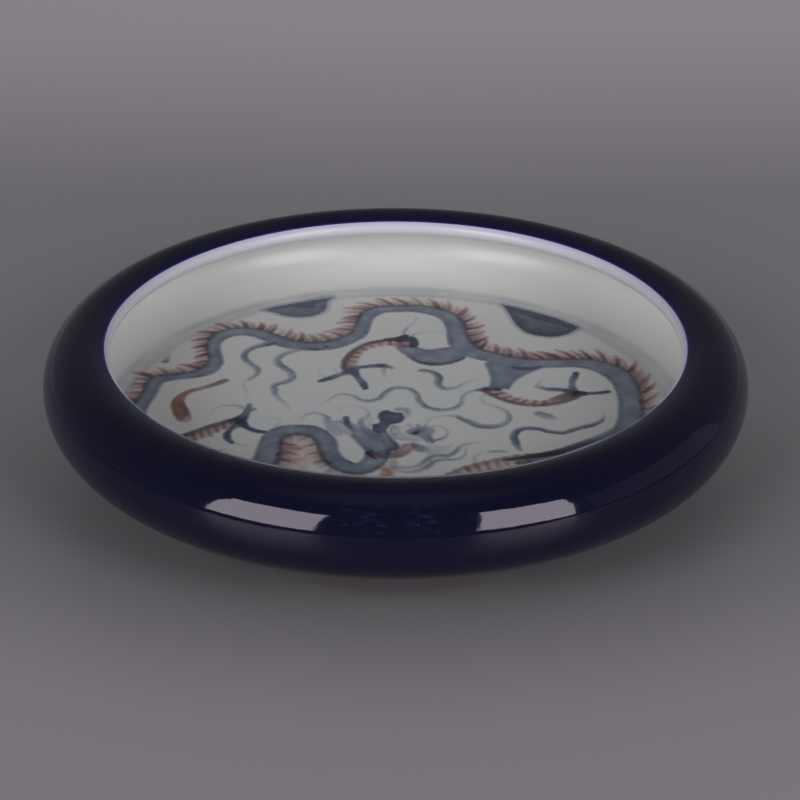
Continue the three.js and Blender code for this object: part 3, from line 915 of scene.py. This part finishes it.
# What one layer of each pigment lets through. The blue and the red wander between two hues in the kiln, in
# patches of a size, and pass from one to the other between two values of a noise.
BLUE = ((0.25, 0.305, 0.398), (0.28, 0.305, 0.425), 11 * MM, 0.47, 0.66)
RED = ((0.71, 0.44, 0.45), (0.63, 0.485, 0.43), 6 * MM, 0.4, 0.6)
BLUSH = (0.92, 0.835, 0.82)
MOST_LAYERS = 3.0
LAYER_STEPS = 8  # of the colour ramp from none to the most


def one_hue(shader, amount, pigment):
    """The colour that an amount of pigment lets through."""
    layers = np.linspace(0, MOST_LAYERS, LAYER_STEPS + 1)[:, None]
    colours = np.append(np.array(pigment) ** layers, layers**0, axis=1)
    return shader.ramp(shader.math("DIVIDE", amount, MOST_LAYERS), colours.tolist())


def two_hues(shader, amount, first, second, size, low, high):
    """The same with two hues, as BLUE and RED give them."""
    share = shader.steps(shader.noise(size), low, high)
    return shader.mix(share, one_hue(shader, amount, first), one_hue(shader, amount, second))


def white_glaze(name):
    """Clear glaze over white clay: faintly uneven, with a few specks of iron."""
    shader = Shader(name, Roughness=0.3, IOR=1.5)
    cloud = shader.noise(30 * MM, 3)
    wall = shader.steps(shader.radius, FLAT_RADIUS - 3, FLAT_RADIUS + 12)
    floor_white = shader.mix(cloud, srgb(208, 211, 213), srgb(213, 212, 211))
    wall_white = shader.mix(cloud, srgb(214, 213, 212), srgb(215, 212, 209))
    white = shader.mix(wall, floor_white, wall_white)
    white = shader.tint(white, shader.noise(2.2 * MM, 4), 0.25, srgb(198, 197, 199))
    rare = shader.steps(shader.noise(6 * MM), 0.62, 0.66)
    white = shader.tint(white, shader.specks(9 * MM, 0.03, 0.012, rare), 0.55, srgb(96, 80, 66))
    shader.bump((shader.noise(14 * MM), 0.05 * MM), (shader.noise(1.6 * MM), 0.003 * MM))
    return shader, white


def ring_amount(shader):
    """Blue pigment in the ring where the floor turns up: a pale, uneven band, darker along its two edges."""
    radius = shader.math("ADD", shader.radius, shader.wander(9 * MM, 2, 0.9))
    uneven = shader.steps(shader.noise(16 * MM, 3), 0.3, 0.75)
    amount = 0.0
    for inset, soft, most, least in ((0, 1.3, 0.2, 0.14), (2, 1, -0.07, -0.04)):
        inner, outer = RING_INNER + inset, RING_OUTER - inset
        inside = shader.steps(radius, inner - soft, inner + soft)
        outside = shader.steps(radius, outer - soft, outer + soft)
        pigment = shader.math("MULTIPLY_ADD", uneven, most, least)
        amount = shader.math("MULTIPLY_ADD", shader.math("SUBTRACT", inside, outside), pigment, amount)
    return shader.times(amount, shader.steps(shader.height, *RING_TOP))


def rim_distance(shader):
    """Distance in mm from the line on the lip where blue glaze meets white."""
    radius = shader.math("SUBTRACT", shader.radius, GLAZE_LINE[0] / MM)
    height = shader.math("SUBTRACT", shader.height, GLAZE_LINE[1] / MM)
    return shader.math("ADD", shader.length(radius, height), shader.wander(6 * MM, 3, 0.5))


def plain_white_glaze():
    """The white inside and under the base. Next to the blue, some cobalt has bled into the clear glaze."""
    shader, white = white_glaze("clear_glaze")
    white = shader.under(white, two_hues(shader, ring_amount(shader), *BLUE))
    distance = rim_distance(shader)
    white = shader.mix(shader.steps(distance, 7.5, 0.5), white, srgb(202, 199, 210))
    white = shader.tint(white, shader.steps(distance, 1.5, -0.3), 0.65, srgb(176, 172, 224))
    return shader.finish(Base_Color=white)


def paint_amount(shader, layer, wander, uneven):
    """How much of a layer's pigment there is: soft at the edge of each stroke, and pooled just inside it."""
    depth, tone, _ = shader.split(shader.add("Attribute", {}, "Vector", attribute_name=layer))
    depth = shader.math("ADD", depth, wander)
    pool = shader.steps(depth, 2.4, 0.6)
    uneven = shader.math("MULTIPLY_ADD", pool, 0.2, uneven)
    amount = shader.times(shader.steps(depth, -SOFTNESS[layer], SOFTNESS[layer]), tone)
    return shader.times(amount, uneven)


def painted_glaze():
    shader, white = white_glaze("painted_glaze")
    wander = shader.wander(1.3 * MM, 2, 0.7)
    uneven = shader.math("MULTIPLY_ADD", shader.noise(5.5 * MM, 4), 1.3, 0.19)
    uneven = shader.math("MULTIPLY_ADD", shader.noise(0.7 * MM), 0.2, uneven)
    wash, line, blush, red = (paint_amount(shader, layer, wander, uneven) for layer in SOFTNESS)
    blue = shader.math("ADD", shader.math("MAXIMUM", wash, line), ring_amount(shader))
    colour = shader.under(white, two_hues(shader, blue, *BLUE))
    colour = shader.under(colour, two_hues(shader, red, *RED))
    return shader.finish(Base_Color=shader.under(colour, one_hue(shader, blush, BLUSH)))


# Rubbed marks on the glaze, with their sheen painted in as paler colour: a place, and how far they reach
# round it, in mm
SCUFF_SHEENS = [((-13, -97, 34), 5), ((-5, -98, 32), 6), ((7, -97, 33), 6), ((-26, 92, 30), 5), ((88, 40, 28), 4)]


def scuff_sheen(shader):
    """Faint cloudy marks and hairlines, in a few places only: rubbed glaze, with the sheen it catches painted
    in as paler colour.
    """
    marks = 0.0
    for centre, reach in SCUFF_SHEENS:
        ends = {0: shader.place, 1: tuple(value * MM for value in centre)}
        distance = shader.add("VectorMath", ends, "Value", operation="DISTANCE")
        marks = shader.math("ADD", marks, shader.steps(distance, reach * MM, 0.2 * reach * MM))
    stretched = shader.add("Mapping", {0: shader.place, "Rotation": (0, 0.5, 0), "Scale": (0.35, 1.0, 1.6)})
    return shader.times(marks, shader.steps(shader.noise(1.2 * MM, 4, stretched), 0.48, 0.85))


def blue_glaze():
    """Deep cobalt glaze: bright violet in a hair's breadth where it ends at the lip, brown at the foot."""
    shader = Shader("blue_glaze", Roughness=0.06, IOR=1.46, Specular_Tint=(1.0, 0.89, 1.0, 1.0))
    blue = shader.mix(shader.noise(11 * MM, 4), srgb(2, 3, 24), srgb(4, 6, 34))
    fine = shader.steps(shader.noise(0.9 * MM, 3), 0.35, 0.75)
    distance = rim_distance(shader)
    thin = shader.steps(distance, 6.0, 1.0)
    fringe = shader.steps(distance, 0.8, 0.0)
    foot = shader.steps(shader.height, 2.4, 1.5)
    pits = shader.specks(4.5 * MM, 0.07, 0.02, shader.steps(shader.noise(7 * MM), 0.55, 0.6))
    # The last of these tints is a painted sheen on rubbed marks
    for amount, most, colour in (
        (fine, 0.3, (10, 12, 46)), (thin, 0.5, (16, 16, 64)), (fringe, 0.7, (62, 58, 136)),
        (foot, 0.7, (96, 76, 60)), (pits, 0.5, (92, 92, 124)), (scuff_sheen(shader), 0.45, (50, 54, 84)),
    ):
        blue = shader.tint(blue, amount, most, srgb(*colour))
    shader.bump((shader.noise(8 * MM), 0.05 * MM), (shader.noise(1.3 * MM), 0.006 * MM), (pits, -0.02 * MM))
    dull = shader.math("MULTIPLY_ADD", shader.noise(3 * MM, 3), 0.05, 0.03)
    return shader.finish(Base_Color=blue, Roughness=dull)


def bare_clay():
    """Fired clay at the foot: fine, matt, pale, and flushed orange next to the glaze."""
    shader = Shader("bare_clay", Roughness=0.8, IOR=1.45)
    uneven = shader.math("ADD", shader.noise(6 * MM, 3), 0.25)
    flush = shader.times(shader.steps(shader.height, 0.3, 1.1), uneven)
    clay = shader.mix(shader.noise(0.8 * MM, 5), srgb(206, 196, 180), srgb(188, 175, 156))
    clay = shader.mix(flush, clay, srgb(176, 116, 70))
    shader.bump((shader.noise(0.5 * MM, 4), 0.03 * MM), (shader.noise(2.5 * MM), 0.05 * MM))
    return shader.finish(Base_Color=clay)


# Pieces

def make_washer():
    clear = plain_white_glaze()
    clay = bare_clay()
    for name, node, slot, material in (
        ("blue_glaze_skin", "blue_glaze", "blue_glaze", blue_glaze()),
        ("base_glaze_skin", "base_glaze", "clear_glaze", clear),
        ("foot_edge", "foot_ring", "bare_foot", clay),
        ("clay_body", "porcelain_body", "porcelain", clay),
    ):
        add_piece(turned(name, *profile(node)), node, material)
    make_inside(clear)


def make_inside(clear):
    """The inner glaze: a fine painted floor, and the wall that is turned from where the floor ends."""
    outline, _ = profile("interior_glaze")
    radius = outline[:, 0] / MM
    floor_end = int(np.argmax(radius > PAINTED_RADIUS))
    under_floor = len(radius) - int(np.argmax(radius[::-1] > PAINTED_RADIUS))
    seam_height = np.interp(PAINTED_RADIUS, radius[:floor_end + 1], outline[:floor_end + 1, 1])
    seam = np.array([PAINTED_RADIUS * MM, seam_height])
    floor_line = np.vstack([outline[:floor_end], seam])
    wall_line = np.vstack([seam, outline[floor_end:under_floor]])
    add_piece(turned("inner_wall", wall_line, True), "interior_glaze", clear)
    add_piece(painted_floor("painted_floor", floor_line), "interior_glaze", painted_glaze())


# Setting

def direction(azimuth, elevation):
    azimuth = math.radians(azimuth)
    elevation = math.radians(elevation)
    level = math.cos(elevation)
    return Vector((math.sin(azimuth) * level, -math.cos(azimuth) * level, math.sin(elevation)))


def rotation(degrees, axis):
    return Matrix.Rotation(math.radians(degrees), 4, axis)


def add_soft_light(name, radiance, azimuth, elevation, facing, roll, width, height):
    """An upright rectangular light. facing is the azimuth that its plane is square to."""
    data = bpy.data.lights.new(name, "AREA")
    data.shape = "RECTANGLE"
    data.size = width
    data.size_y = height
    data.energy = radiance * math.pi * width * height
    place = direction(azimuth, elevation) * LIGHT_DISTANCE + Vector((0, 0, LIGHT_AIM))
    upright = direction(facing, 0).to_track_quat("Z", "Y").to_matrix().to_4x4()
    place_object(name, data, place, rotation(roll, direction(facing, 0)) @ upright)


def add_card(azimuth, elevation, width, height):
    """A dim reflector that fades out towards its edges: lights of several sizes, one in the other."""
    share = CARD_RADIANCE / len(CARD_SIZES)
    for i, size in enumerate(CARD_SIZES):
        add_soft_light(f"card_{i}", share, azimuth, elevation, azimuth, 0, width * size, height * size)


def add_room():
    world = bpy.data.worlds.new("room")
    world.use_nodes = True
    nodes, links = world.node_tree.nodes, world.node_tree.links
    towards = nodes.new("ShaderNodeTexCoord")
    split = nodes.new("ShaderNodeSeparateXYZ")
    ramp = nodes.new("ShaderNodeValToRGB")
    set_stops(ramp, *zip(*ROOM_LIGHT))
    links.new(towards.outputs["Generated"], split.inputs[0])
    links.new(split.outputs[2], ramp.inputs[0])
    links.new(ramp.outputs[0], nodes["Background"].inputs["Color"])
    bpy.context.scene.world = world


def add_floor():
    side = FLOOR_HALF_WIDTH
    corners = [(-side, -side, 0), (side, -side, 0), (side, side, 0), (-side, side, 0)]
    mesh = bpy.data.meshes.new("floor")
    mesh.from_pydata(corners, [], [(0, 1, 2, 3)])
    shader = Shader("floor", Roughness=0.4, IOR=1.6)
    # The floor's grey, with painted light in its steps away from the viewer
    away = shader.steps(shader.y, -FLOOR_REACH, FLOOR_REACH, smooth=False)
    painted_light_grey = shader.ramp(away, [srgb(*(grey * share for share in FLOOR_TINT)) for grey in FLOOR_GREYS])
    # Painted shadow: the floor's colour darkens towards black in front of the washer
    distance = shader.length(shader.times(shader.x, SHADE_WIDER), shader.y)
    near = shader.math("POWER", shader.steps(distance, *SHADE_REACH, smooth=False), SHADE_FALL)
    shade = shader.times(shader.times(shader.steps(shader.y, *SHADE_FRONT), near), SHADE)
    mesh.materials.append(shader.finish(Base_Color=shader.mix(shade, painted_light_grey, srgb(0, 0, 0))))
    floor = place_object("floor", mesh)


def add_camera():
    data = bpy.data.cameras.new("camera")
    data.lens = LENS
    data.sensor_width = SENSOR_WIDTH
    place = direction(0, CAMERA_ELEVATION) * CAMERA_DISTANCE + Vector((0, 0, MOUTH_HEIGHT))
    turn = rotation(-CAMERA_YAW, "Z") @ rotation(90 - CAMERA_PITCH, "X") @ rotation(CAMERA_ROLL, "Z")
    bpy.context.scene.camera = place_object("camera", data, place, turn)


make_washer()
add_camera()
add_room()
add_floor()
add_soft_light("left_light", LEFT_RADIANCE, -39.4, 24.5, facing=-31, roll=-1, width=0.535, height=0.685)
add_soft_light("right_light", RIGHT_RADIANCE, 40.6, 24, facing=22, roll=-6.6, width=0.485, height=0.71)
add_card(86, 16, 1.0, 0.5)
bpy.context.scene.view_settings.view_transform = "Standard"

bpy.context.view_layer.update()
